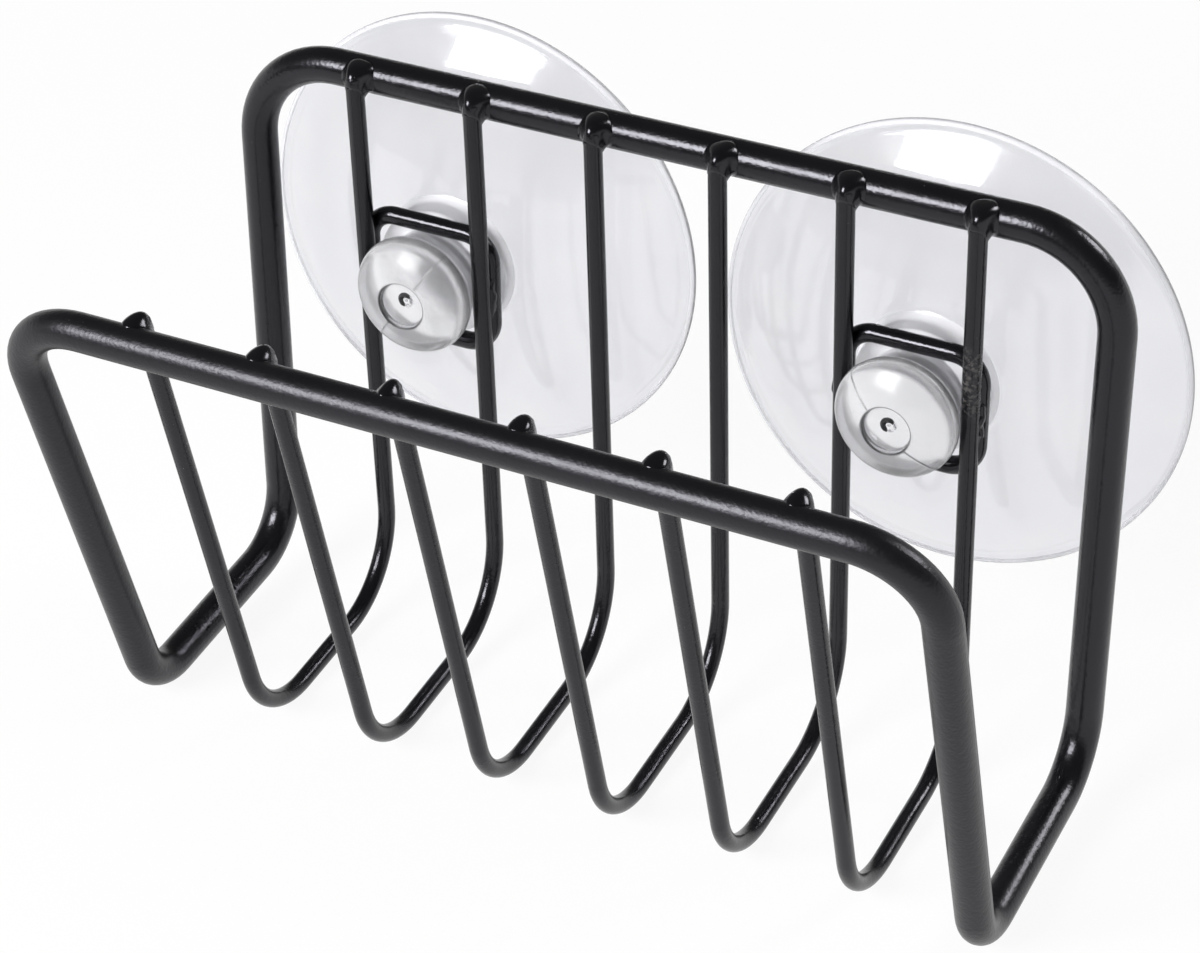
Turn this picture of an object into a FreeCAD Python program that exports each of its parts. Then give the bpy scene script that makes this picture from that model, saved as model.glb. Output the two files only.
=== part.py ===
import FreeCAD, Part
import math
import os

import Sketcher

# A wire sponge holder that hangs on a wall by two suction cups.
# The origin lies on the wall plane, midway between the axes of the cups.
# +X runs to the right along the wall, +Y points into the wall and +Z points up.

SIZES = {
    # Wires.
    "frame_wire_diameter": 5.0,
    "rib_wire_diameter": 2.5,
    "ring_wire_diameter": 2.5,
    # Frame loop, along the centreline of its wire and to the sharp corners of its bends.
    "frame_width": 124.0,
    "wall_gap": 15.0,
    "rail_rise": 29.0,
    "back_height": 78.5,
    "floor_run": 36.6,
    "floor_drop": 3.9,
    "front_run": 22.4,
    "front_rise": 71.8,
    "back_corner_radius": 13.0,
    "front_corner_radius": 10.5,
    "heel_radius": 9.5,
    "toe_radius": 7.5,
    # Ribs: how they hang below the frame, and their ends.
    "rib_heel_drop": 2.6,
    "rib_toe_drop": 2.1,
    "rib_toe_setback": 1.2,
    "rib_heel_radius": 13.0,
    "rib_toe_radius": 12.0,
    "rib_back_overhang": 1.5,
    "rib_front_overhang": 1.4,
    "rib_end_round": 0.8,
    "rail_weld_sink": 0.3,
    # Cup rings.
    "ring_height": 16.8,
    "ring_outset": 0.5,
    "ring_corner_radius": 4.0,
    "ring_weld_sink": 0.15,
    # Weld beads, as half sizes across, outward from and along the joint.
    "rail_bead_reach": 2.3,
    "rail_bead_depth": 1.0,
    "rail_bead_length": 1.8,
    "front_bead_drop": 1.25,
    "ring_bead_reach": 1.5,
    "ring_bead_depth": 0.9,
    "ring_bead_length": 3.2,
    # Suction cups.
    "cup_diameter": 66.0,
    "lip_width": 1.5,
    "lip_thickness": 1.2,
    "hollow_depth": 8.0,
    "dome_foot_height": 9.9,
    "boss_diameter": 18.4,
    "boss_foot_fillet": 1.5,
    "boss_edge_round": 0.7,
    "cup_clearance": 0.3,
    "neck_clearance": 0.35,
    "knob_overhang": 0.9,
    "knob_clearance": 0.33,
    "knob_shoulder_radius": 2.4,
    "knob_dome_radius": 13.0,
    "dimple_diameter": 6.5,
    "dimple_depth": 1.2,
    "dimple_edge_round": 0.3,
    "sprue_diameter": 1.4,
    "sprue_height": 0.4,
}
RIB_COUNT = 6
SIDES = ("left", "right")

doc = FreeCAD.newDocument("sponge_holder")
sheet = doc.addObject("Spreadsheet::Sheet", "sizes")
for row, (alias, number) in enumerate(SIZES.items(), start=1):
    sheet.set(f"A{row}", alias)
    sheet.set(f"B{row}", str(number))
    sheet.setAlias(f"B{row}", alias)
doc.recompute()


class Size:
    """A value together with the sheet formula that gives it.

    A sketch is drawn at the value, and its constraints are bound to the formula.
    """

    def __init__(self, value, formula):
        self.value = value
        self.formula = formula

    def __add__(self, other):
        return Size(self.value + other.value, f"({self.formula} + {other.formula})")

    def __sub__(self, other):
        return Size(self.value - other.value, f"({self.formula} - {other.formula})")

    def __neg__(self):
        return Size(-self.value, f"(0 - {self.formula})")

    def __mul__(self, other):
        other = other if isinstance(other, Size) else Size(other, str(other))
        return Size(self.value * other.value, f"({self.formula} * {other.formula})")

    def __truediv__(self, other):
        other = other if isinstance(other, Size) else Size(other, str(other))
        return Size(self.value / other.value, f"({self.formula} / {other.formula})")


def root(size):
    return Size(math.sqrt(size.value), f"sqrt({size.formula})")


def lesser(one, other):
    return Size(min(one.value, other.value), f"min({one.formula}; {other.formula})")


def lean_angle(run, rise):
    """Angle from the vertical, in degrees, of a line that goes out by run as it goes up by rise."""
    return Size(math.degrees(math.atan2(run.value, rise.value)), f"atan({run.formula} / {rise.formula})")


def named(alias):
    return Size(float(sheet.get(alias)), f"sizes.{alias}")


ZERO = Size(0.0, "0")

# Places along the wire centrelines, worked out from the sheet.
frame_radius = named("frame_wire_diameter") / 2
rib_radius = named("rib_wire_diameter") / 2
ring_radius = named("ring_wire_diameter") / 2
half_width = named("frame_width") / 2

rail_y = -named("wall_gap")
rail_z = named("rail_rise")
heel_z = rail_z - named("back_height")
toe_y = rail_y - named("floor_run")
toe_z = heel_z - named("floor_drop")
front_y = toe_y - named("front_run")
front_z = toe_z + named("front_rise")
front_length = root(named("front_run") * named("front_run") + named("front_rise") * named("front_rise"))
front_lean = lean_angle(named("front_run"), named("front_rise"))

# A rib is pressed into both rails by the weld sink, in front of the back one and behind the front one.
rib_offset = frame_radius + rib_radius - named("rail_weld_sink")
rib_rail_y = rail_y - rib_offset
rib_heel_z = heel_z - named("rib_heel_drop")
rib_toe_y = toe_y + named("rib_toe_setback")
rib_toe_z = toe_z - named("rib_toe_drop")
rib_front_y = front_y + rib_offset * named("front_rise") / front_length
rib_front_z = front_z + rib_offset * named("front_run") / front_length


def rib_back_y(height):
    """Depth of a rib's back run at a height: it leans from the rail to the plane of the uprights."""
    return rib_rail_y + rib_offset * (rail_z - height) / (rail_z - rib_heel_z)


# The ribs divide the frame's width evenly.
# A ring's sides stand a little outside the middles of its two ribs.
rib_pitch = named("frame_width") / (RIB_COUNT + 1)
ring_half_height = named("ring_height") / 2
ring_half_width = rib_pitch / 2 + named("ring_outset")
ring_y = rib_back_y(ring_half_height) + rib_radius + ring_radius - named("ring_weld_sink")


def rib_x(number):
    """Place of a rib along the rails, counted from 1 at the left."""
    return rib_pitch * (number - (RIB_COUNT + 1) / 2)


def ring_ribs(side):
    """Numbers of the two ribs that carry a ring: the outer pair on that side."""
    return (1, 2) if side == "left" else (RIB_COUNT - 1, RIB_COUNT)


def cup_x(side):
    """Place of a cup's axis: midway between the two ribs that carry its ring."""
    first, second = ring_ribs(side)
    return (rib_x(first) + rib_x(second)) / 2


def bind(thing, prop, size):
    thing.setExpression(prop, size.formula)


def new_body(label):
    body = doc.addObject("PartDesign::Body", label)
    body.Label = label
    return body


def origin_sketch(body, name, role):
    """An empty sketch on one of the body's own origin planes."""
    plane = next(feature for feature in body.Origin.OriginFeatures if feature.Role == role)
    sketch = body.newObject("Sketcher::SketchObject", name)
    sketch.AttachmentSupport = [(plane, "")]
    sketch.MapMode = "FlatFace"
    return sketch


def pin(sketch, geometry, end, place):
    """Holds one point of a sketch element at a place given in sheet sizes."""
    for kind, size, axis in zip(("DistanceX", "DistanceY"), place, (-2, -1)):
        if size is ZERO:
            sketch.addConstraint(Sketcher.Constraint("PointOnObject", geometry, end, axis))
        else:
            index = sketch.addConstraint(Sketcher.Constraint(kind, -1, 1, geometry, end, size.value))
            bind(sketch, f"Constraints[{index}]", size)


def point(place):
    return FreeCAD.Vector(place[0].value, place[1].value, 0)


def short_arc(start, end, centre):
    """The arc of under half a circle from start to end, and which of its own ends lies at start."""
    first = math.atan2(start.y - centre.y, start.x - centre.x)
    last = math.atan2(end.y - centre.y, end.x - centre.x)
    turn = (last - first) % math.tau
    circle = Part.Circle(centre, FreeCAD.Vector(0, 0, 1), start.distanceToPoint(centre))
    if turn <= math.pi:
        return Part.ArcOfCircle(circle, first, first + turn), 1
    return Part.ArcOfCircle(circle, last, last + math.tau - turn), 2


def draw_bent_path(sketch, places, radii, closed=False):
    """Straight runs through the corner places, joined by tangent arcs of the given radii.

    An open path starts and ends at its first and last place. A closed one bends at every place.
    """
    corners = list(range(len(places))) if closed else list(range(1, len(places) - 1))
    tangents = {}
    centres = {}
    for corner, radius in zip(corners, radii):
        here = point(places[corner])
        back = (point(places[corner - 1]) - here).normalize()
        ahead = (point(places[(corner + 1) % len(places)]) - here).normalize()
        half = back.getAngle(ahead) / 2
        reach = radius.value / math.tan(half)
        tangents[corner] = (here + back * reach, here + ahead * reach)
        centres[corner] = here + (back + ahead).normalize() * (radius.value / math.sin(half))
    lines = []
    for start in range(len(places) if closed else len(places) - 1):
        end = (start + 1) % len(places)
        begin = tangents[start][1] if start in tangents else point(places[start])
        finish = tangents[end][0] if end in tangents else point(places[end])
        lines.append(sketch.addGeometry(Part.LineSegment(begin, finish)))
    if not closed:
        pin(sketch, lines[0], 1, places[0])
        pin(sketch, lines[-1], 2, places[-1])
    for corner, radius in zip(corners, radii):
        arc, near = short_arc(*tangents[corner], centres[corner])
        bend = sketch.addGeometry(arc)
        before, after = lines[corner - 1], lines[corner]
        sketch.addConstraint(Sketcher.Constraint("Tangent", before, 2, bend, near))
        sketch.addConstraint(Sketcher.Constraint("Tangent", bend, 3 - near, after, 1))
        index = sketch.addConstraint(Sketcher.Constraint("Radius", bend, radius.value))
        bind(sketch, f"Constraints[{index}]", radius)
        mark = sketch.addGeometry(Part.Point(point(places[corner])), True)
        pin(sketch, mark, 1, places[corner])
        sketch.addConstraint(Sketcher.Constraint("PointOnObject", mark, 1, before))
        sketch.addConstraint(Sketcher.Constraint("PointOnObject", mark, 1, after))


def sweep_wire(body, name, path, diameter):
    """Sweeps a round wire section along a path sketch of the same body."""
    doc.recompute()
    section = body.newObject("Sketcher::SketchObject", name + "_section")
    section.AttachmentSupport = [(path, "Edge1")]
    section.MapMode = "NormalToEdge"
    centre = FreeCAD.Vector(0, 0, 0)
    circle = section.addGeometry(Part.Circle(centre, FreeCAD.Vector(0, 0, 1), diameter.value / 2))
    section.addConstraint(Sketcher.Constraint("Coincident", circle, 3, -1, 1))
    index = section.addConstraint(Sketcher.Constraint("Diameter", circle, diameter.value))
    bind(section, f"Constraints[{index}]", diameter)
    pipe = body.newObject("PartDesign::AdditivePipe", name)
    pipe.Profile = section
    pipe.Spine = path
    doc.recompute()
    return pipe


def hoop_places(foot, top):
    """Corners of half the frame loop: up at the left, across the rail and down at the right."""
    return [(-half_width, foot), (-half_width, top), (half_width, top), (half_width, foot)]


def make_frame():
    """The thick wire loop: a back hoop, two side runs and a leaning front hoop, end to end."""
    body = new_body("frame_wire")
    upright_mid_z = rail_z - named("back_height") / 2

    hoop = origin_sketch(body, "back_hoop_path", "XZ_Plane")
    bind(hoop, "AttachmentOffset.Base.z", -rail_y)
    corner_radii = [named("back_corner_radius")] * 2
    draw_bent_path(hoop, hoop_places(upright_mid_z, rail_z), corner_radii)
    sweep_wire(body, "back_hoop", hoop, named("frame_wire_diameter"))

    for side, x in (("left", -half_width), ("right", half_width)):
        run = origin_sketch(body, side + "_side_path", "YZ_Plane")
        bind(run, "AttachmentOffset.Base.z", x)
        front_mid_place = (toe_y - named("front_run") / 2, toe_z + named("front_rise") / 2)
        places = [(rail_y, upright_mid_z), (rail_y, heel_z), (toe_y, toe_z), front_mid_place]
        draw_bent_path(run, places, [named("heel_radius"), named("toe_radius")])
        sweep_wire(body, side + "_side", run, named("frame_wire_diameter"))

    hoop = origin_sketch(body, "front_hoop_path", "XZ_Plane")
    lean = FreeCAD.Rotation(FreeCAD.Vector(1, 0, 0), front_lean.value)
    hoop.AttachmentOffset = FreeCAD.Placement(FreeCAD.Vector(0, toe_z.value, -toe_y.value), lean)
    bind(hoop, "AttachmentOffset.Base.y", toe_z)
    bind(hoop, "AttachmentOffset.Base.z", -toe_y)
    bind(hoop, "AttachmentOffset.Rotation.Angle", front_lean)
    corner_radii = [named("front_corner_radius")] * 2
    draw_bent_path(hoop, hoop_places(front_length / 2, front_length), corner_radii)
    sweep_wire(body, "front_hoop", hoop, named("frame_wire_diameter"))
    return body


def edge_names(shape, wanted):
    """Names of the edges of a shape for which the test holds."""
    return [f"Edge{index}" for index, edge in enumerate(shape.Edges, start=1) if wanted(edge)]


def round_edges(body, name, base, edges, radius):
    fillet = body.newObject("PartDesign::Fillet", name)
    fillet.Base = (base, edges)
    bind(fillet, "Radius", radius)
    doc.recompute()
    return fillet


def cut(label, base, tool):
    piece = doc.addObject("Part::Cut", label)
    piece.Label = label
    piece.Base = base
    piece.Tool = tool
    return piece


def gather(label, pieces):
    group = doc.addObject("Part::Compound", label)
    group.Links = pieces
    return group


def make_rib(number, frame):
    """One thin wire bent to a U, with rounded ends, let into both rails by the weld sink."""
    body = new_body(f"rib_{number}_wire")
    path = origin_sketch(body, "rib_path", "YZ_Plane")
    bind(path, "AttachmentOffset.Base.z", rib_x(number))
    back_z = rail_z + named("rib_back_overhang")
    front_end_z = rib_front_z + named("rib_front_overhang")
    front_slope = (rib_front_y - rib_toe_y) / (rib_front_z - rib_toe_z)
    places = [
        (rib_back_y(back_z), back_z),
        (rail_y, rib_heel_z),
        (rib_toe_y, rib_toe_z),
        (rib_front_y + front_slope * named("rib_front_overhang"), front_end_z),
    ]
    draw_bent_path(path, places, [named("rib_heel_radius"), named("rib_toe_radius")])
    pipe = sweep_wire(body, "rib_sweep", path, named("rib_wire_diameter"))
    ends = [face for face in pipe.Shape.Faces if isinstance(face.Surface, Part.Plane)]
    end_rims = [edge for face in ends for edge in face.Edges]
    rims = edge_names(pipe.Shape, lambda edge: any(edge.isSame(rim) for rim in end_rims))
    round_edges(body, "rib_end_rounds", pipe, rims, named("rib_end_round"))
    return cut(f"rib_{number}", body, frame)


def make_ring(side, ribs):
    """A rounded square of thin wire behind a pair of ribs, let into them by the weld."""
    body = new_body(side + "_ring_wire")
    path = origin_sketch(body, "ring_path", "XZ_Plane")
    bind(path, "AttachmentOffset.Base.z", -ring_y)
    places = [
        (-ring_half_width, -ring_half_height),
        (-ring_half_width, ring_half_height),
        (ring_half_width, ring_half_height),
        (ring_half_width, -ring_half_height),
    ]
    draw_bent_path(path, places, [named("ring_corner_radius")] * len(places), closed=True)
    sweep_wire(body, "ring_sweep", path, named("ring_wire_diameter"))
    bind(body, "Placement.Base.x", cup_x(side))
    return cut(side + "_cup_ring", body, ribs)


def bead(name, reach, depth, length, place, lean=None):
    """A lump of weld metal: half sizes across, out from and along the joint, at its centre."""
    lump = doc.addObject("Part::Ellipsoid", name)
    bind(lump, "Radius1", length)
    bind(lump, "Radius2", reach)
    bind(lump, "Radius3", depth)
    if lean:
        tilt = FreeCAD.Rotation(FreeCAD.Vector(1, 0, 0), lean.value)
        lump.Placement = FreeCAD.Placement(FreeCAD.Vector(), tilt)
        bind(lump, "Placement.Rotation.Angle", lean)
    for axis, size in zip("xyz", place):
        bind(lump, "Placement.Base." + axis, size)
    return lump


def make_rail_welds(label, frame, ribs, y, z, lean=None):
    """The fillets of weld on both flanks of each rib, against one rail."""
    half_sizes = [named("rail_bead_" + part) for part in ("reach", "depth", "length")]
    lumps = []
    for number in range(1, RIB_COUNT + 1):
        place = (rib_x(number), y, z)
        lumps.append(bead(f"{label}_lump_{number}", *half_sizes, place, lean))
    clear_of_rail = cut(label + "_off_rail", gather(label + "_lumps", lumps), frame)
    return cut(label, clear_of_rail, ribs)


def make_ring_welds(side, ring, ribs):
    """The fillets of weld on both flanks of each of a ring's sides, against its ribs."""
    label = side + "_ring_welds"
    half_sizes = [named("ring_bead_" + part) for part in ("reach", "depth", "length")]
    seam_y = ring_y - ring_radius + named("ring_weld_sink") / 2
    lumps = []
    for number in ring_ribs(side):
        place = (rib_x(number), seam_y, ZERO)
        lumps.append(bead(f"{label}_lump_{number}", *half_sizes, place))
    clear_of_ribs = cut(label + "_off_ribs", gather(label + "_lumps", lumps), ribs)
    return cut(label, clear_of_ribs, ring)


def draw_outline(sketch, steps):
    """A closed outline of pinned corners, each with the centre of the arc that leaves it.

    A corner whose centre is None is left along a straight line.
    """
    count = len(steps)
    elements = []
    for index, (place, centre) in enumerate(steps):
        start, end = point(place), point(steps[(index + 1) % count][0])
        element, near = Part.LineSegment(start, end), 1
        if centre:
            element, near = short_arc(start, end, point(centre))
        elements.append((sketch.addGeometry(element), near))
    for index, (place, centre) in enumerate(steps):
        geometry, near = elements[index]
        follower, start_of_next = elements[(index + 1) % count]
        pin(sketch, geometry, near, place)
        joined = Sketcher.Constraint("Coincident", geometry, 3 - near, follower, start_of_next)
        sketch.addConstraint(joined)
        if centre:
            pin(sketch, geometry, 3, centre[:1])


def axis_centre(one, other):
    """The point of the cup's axis that is as far from one place as from the other."""
    across = one[0] * one[0] - other[0] * other[0]
    along = one[1] * one[1] - other[1] * other[1]
    return (ZERO, (across + along) / ((one[1] - other[1]) * 2))


def is_circle_through(edge, place):
    """Whether an edge is a circle that passes through a place of the cup's section."""
    if edge.Degenerated or not isinstance(edge.Curve, Part.Circle):
        return False
    return edge.distToShape(Part.Vertex(place))[0] <= edge.Tolerance


def make_cup(side):
    """One clear moulding turned about its axis: lip, dish, boss, neck and dimpled knob."""
    body = new_body(side + "_suction_cup")
    rim = named("cup_diameter") / 2
    lip_round = named("lip_thickness") / 2
    lip_inner = rim - named("lip_width")
    boss_radius = named("boss_diameter") / 2
    boss_y = ring_y + ring_radius + named("cup_clearance")
    foot_y = -named("dome_foot_height")
    ring_opening = lesser(ring_half_width, ring_half_height) - ring_radius
    bead_opening = rib_pitch / 2 - named("ring_bead_reach")
    neck_radius = lesser(ring_opening, bead_opening) - named("neck_clearance")

    # The knob's side is one round shoulder about its equator, tangent to a domed front.
    # It reaches over the ribs beside it, so it stands in front of them by its clearance.
    shoulder = named("knob_shoulder_radius")
    dome = named("knob_dome_radius")
    shoulder_x = rib_pitch / 2 - rib_radius + named("knob_overhang") - shoulder
    rib_reach = shoulder + rib_radius + named("knob_clearance")
    rib_inset = rib_pitch / 2 - shoulder_x
    equator_y = rib_back_y(ZERO) - root(rib_reach * rib_reach - rib_inset * rib_inset)
    dome_y = equator_y + root((dome - shoulder) * (dome - shoulder) - shoulder_x * shoulder_x)
    reach_ratio = dome / (dome - shoulder)
    meeting = (shoulder_x * reach_ratio, dome_y + (equator_y - dome_y) * reach_ratio)
    neck_inset = neck_radius - shoulder_x
    neck_end = (neck_radius, equator_y + root(shoulder * shoulder - neck_inset * neck_inset))

    dimple = named("dimple_diameter") / 2
    dimple_edge = (dimple, dome_y - root(dome * dome - dimple * dimple))
    dimple_y = dome_y - dome + named("dimple_depth")
    sprue = named("sprue_diameter") / 2
    sprue_y = dimple_y - named("sprue_height")

    hollow_top = (ZERO, -named("hollow_depth"))
    lip_seat = (lip_inner, ZERO)
    lip_front = (lip_inner, -named("lip_thickness"))
    dome_foot = (boss_radius, foot_y)
    lip_centre = (rim - lip_round, -lip_round)
    steps = [
        (hollow_top, axis_centre(hollow_top, lip_seat)),
        (lip_seat, None),
        ((rim - lip_round, ZERO), lip_centre),
        ((rim, -lip_round), lip_centre),
        ((rim - lip_round, -named("lip_thickness")), None),
        (lip_front, axis_centre(lip_front, dome_foot)),
        (dome_foot, None),
        ((boss_radius, boss_y), None),
        ((neck_radius, boss_y), None),
        (neck_end, (shoulder_x, equator_y)),
        (meeting, (ZERO, dome_y)),
        (dimple_edge, None),
        ((dimple, dimple_y), None),
        ((sprue, dimple_y), None),
        ((sprue, sprue_y), None),
        ((ZERO, sprue_y), None),
    ]
    section = origin_sketch(body, "cup_section", "XY_Plane")
    draw_outline(section, steps)
    turned = body.newObject("PartDesign::Revolution", "cup_turned")
    turned.Profile = section
    turned.ReferenceAxis = (section, ["V_Axis"])
    turned.Angle = 360
    doc.recompute()

    rounded = turned
    rounds = [
        ("boss_foot", dome_foot, "boss_foot_fillet"),
        ("boss_edge", (boss_radius, boss_y), "boss_edge_round"),
        ("dimple_edge", dimple_edge, "dimple_edge_round"),
    ]
    for name, place, alias in rounds:
        edges = edge_names(rounded.Shape, lambda edge: is_circle_through(edge, point(place)))
        rounded = round_edges(body, name, rounded, edges, named(alias))
    bind(body, "Placement.Base.x", cup_x(side))
    return body


frame = make_frame()
ribs = [make_rib(number, frame) for number in range(1, RIB_COUNT + 1)]
rib_set = gather("rib_set", ribs)
rings = {side: make_ring(side, rib_set) for side in SIDES}

# A bead's middle lies halfway into the weld sink. The front ones sit below the ribs' rounded ends.
seam_offset = frame_radius - named("rail_weld_sink") / 2
bead_drop = named("front_bead_drop")
front_bead_y = front_y + (seam_offset * named("front_rise") + bead_drop * named("front_run")) / front_length
front_bead_z = front_z + (seam_offset * named("front_run") - bead_drop * named("front_rise")) / front_length
welds = [
    make_rail_welds("back_rail_welds", frame, rib_set, rail_y - seam_offset, rail_z),
    make_rail_welds("front_rail_welds", frame, rib_set, front_bead_y, front_bead_z, front_lean),
]
welds += [make_ring_welds(side, rings[side], rib_set) for side in SIDES]
cups = [make_cup(side) for side in SIDES]
doc.recompute()

pieces = [frame, *ribs, *rings.values(), *welds, *cups]
for thing in doc.Objects:
    if "Invalid" in thing.State or "Error" in thing.State:
        raise RuntimeError(f"{thing.Label} failed to recompute")
for piece in pieces:
    if piece.Shape.isNull() or not piece.Shape.isValid():
        raise RuntimeError(f"{piece.Label} has no valid shape")

os.makedirs("parts", exist_ok=True)
for piece in pieces:
    piece.Shape.exportStep(f"parts/{piece.Label}.step")
    print(piece.Label, len(piece.Shape.Solids), "solids,", round(piece.Shape.Volume, 1), "mm3")
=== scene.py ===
# %% [markdown]
# # A wire sponge holder with two suction cups
# The real thing is a basket of black coated wire. Two clear cups hold it on a tile or in a sink.
# Its measured solids are loaded first and stay where they are. This lesson lights them, gives
# every surface its finish, and adds the small shapes that welding, coating and moulding leave.

import math

import bmesh
import bpy
import numpy as np
from mathutils import Matrix, Vector


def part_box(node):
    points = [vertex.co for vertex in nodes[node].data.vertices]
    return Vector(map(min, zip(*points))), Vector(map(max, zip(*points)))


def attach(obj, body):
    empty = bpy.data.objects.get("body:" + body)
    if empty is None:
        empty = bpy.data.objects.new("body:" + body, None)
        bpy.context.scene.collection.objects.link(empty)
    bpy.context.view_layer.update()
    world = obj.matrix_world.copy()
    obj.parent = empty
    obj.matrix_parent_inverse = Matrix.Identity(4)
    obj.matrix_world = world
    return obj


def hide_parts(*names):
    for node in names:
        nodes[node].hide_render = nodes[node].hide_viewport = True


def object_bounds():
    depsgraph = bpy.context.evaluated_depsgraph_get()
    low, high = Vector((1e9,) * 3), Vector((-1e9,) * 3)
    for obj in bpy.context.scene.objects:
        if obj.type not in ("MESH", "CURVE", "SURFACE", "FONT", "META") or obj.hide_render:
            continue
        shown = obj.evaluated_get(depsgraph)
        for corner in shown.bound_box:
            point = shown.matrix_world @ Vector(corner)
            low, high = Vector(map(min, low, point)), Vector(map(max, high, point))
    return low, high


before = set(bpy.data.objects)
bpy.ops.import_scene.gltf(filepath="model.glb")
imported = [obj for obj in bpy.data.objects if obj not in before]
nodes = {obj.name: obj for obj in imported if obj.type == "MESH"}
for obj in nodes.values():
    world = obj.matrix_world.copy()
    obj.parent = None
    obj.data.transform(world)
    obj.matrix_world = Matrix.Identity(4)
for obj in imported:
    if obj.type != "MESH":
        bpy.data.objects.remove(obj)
solid_box = [list(map(float, corner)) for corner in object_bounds()]
MM = 0.001
RIBS = [f"rib_{number}" for number in range(1, 7)]
SIDES = ("left", "right")
print("solids loaded:", len(nodes), "box", np.round(np.array(solid_box) / MM, 1).tolist())

# %% [markdown]
# ## The camera
# A photograph of a product is a pinhole view, so a few angles and lengths are enough to repeat it:
# how far round the object the camera stands, how high it looks from, its slight roll, and how far
# away it is. It could be placed by eye, but a camera that is worked out from the straight wires
# lands every bend on its own place in the picture, so shapes can be compared one by one. The
# angles here are in radians.

# %% Stand the camera where the photograph was taken
AZIMUTH = 0.474402
ELEVATION = 0.576361
ROLL = -0.007609
CAMERA_DISTANCE = 441.68 * MM
AIM = Vector((2.82, -39.85, -6.99)) * MM
LENS_MM, SENSOR_MM = 103.28, 36.0
NEAREST = 10 * MM


def view_axes(azimuth, elevation, roll=0.0):
    """Right, up and backward axes of a camera that looks at the object from these angles."""
    backward = Vector((
        math.sin(azimuth) * math.cos(elevation),
        -math.cos(azimuth) * math.cos(elevation),
        math.sin(elevation),
    ))
    right = Vector((math.cos(azimuth), math.sin(azimuth), 0.0))
    turn = Matrix.Rotation(roll, 3, backward)
    return turn @ right, turn @ backward.cross(right), backward


def facing(azimuth, elevation, distance, roll=0.0):
    """World matrix of a camera or lamp at that distance from the aim point, looking at it."""
    right, up, backward = view_axes(azimuth, elevation, roll)
    turned = Matrix((right, up, backward)).transposed()
    return Matrix.Translation(AIM + backward * distance) @ turned.to_4x4()


lens = bpy.data.cameras.new("photo_lens")
lens.sensor_width = SENSOR_MM
lens.lens = LENS_MM
lens.clip_start = NEAREST
camera = bpy.data.objects.new("photo_camera", lens)
camera.matrix_world = facing(AZIMUTH, ELEVATION, CAMERA_DISTANCE, ROLL)
bpy.context.scene.collection.objects.link(camera)
bpy.context.scene.camera = camera
bpy.context.scene.view_settings.view_transform = "Standard"
print("camera at", np.round(np.array(camera.matrix_world.translation) / MM, 1), "mm")

# %% [markdown]
# ## Materials as sums
# A finish is a sum of patterns: a base value, plus some grain, plus a few specks. Nodes can be
# wired one at a time, but then the sum is hard to read. Here a small class wraps a socket, so
# that the sum is written as a sum and Python adds the Math nodes.


# %% A value in a node tree, and the trees that hold it
class Flow:
    """A value that flows out of a node. Arithmetic on it adds Math nodes to its tree."""

    def __init__(self, wiring, socket):
        self.wiring = wiring
        self.socket = socket

    def maths(self, operation, first, second):
        return self.wiring.node("ShaderNodeMath", {"operation": operation}, {0: first, 1: second})

    def __add__(self, other):
        return self.maths("ADD", self, other)

    __radd__ = __add__

    def __sub__(self, other):
        return self.maths("SUBTRACT", self, other)

    def __rsub__(self, other):
        return self.maths("SUBTRACT", other, self)

    def __mul__(self, other):
        return self.maths("MULTIPLY", self, other)

    __rmul__ = __mul__

    def __lt__(self, other):
        return self.maths("LESS_THAN", self, other)

    def __or__(self, other):
        """The greater of two values, which joins two masks."""
        return self.maths("MAXIMUM", self, other)


class Wiring:
    """A node tree that is built by calls."""

    def __init__(self, tree):
        self.tree = tree

    def node(self, kind, settings=None, sockets=None, output=0):
        """Adds a node, sets it up, feeds its sockets and returns one of its outputs."""
        node = self.tree.nodes.new(kind)
        for name, value in (settings or {}).items():
            setattr(node, name, value)
        for name, value in (sockets or {}).items():
            self.feed(node.inputs[name], value)
        return Flow(self, node.outputs[output])

    def feed(self, socket, value):
        if isinstance(value, Flow):
            self.tree.links.new(value.socket, socket)
        else:
            socket.default_value = value

    def blend(self, factor, one, other):
        """Mixes two colours. The Mix node keeps its colour sockets after those for numbers."""
        return self.node("ShaderNodeMix", {"data_type": "RGBA"}, {0: factor, 6: one, 7: other}, 2)

    def fade(self, value, start, end, first=0.0, last=1.0):
        """Goes smoothly from the first number to the last as the value goes from start to end."""
        sockets = {"Value": value, "From Min": start, "From Max": end, "To Min": first, "To Max": last}
        return self.node("ShaderNodeMapRange", {"interpolation_type": "SMOOTHSTEP"}, sockets)

    def seen_rays(self):
        """One for rays that meet what the viewer meets: direct, in gloss or through clear plastic."""
        rays = [self.node("ShaderNodeLightPath", output=f"Is {kind} Ray")
                for kind in ("Camera", "Glossy", "Transmission")]
        return rays[0] | rays[1] | rays[2]


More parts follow.
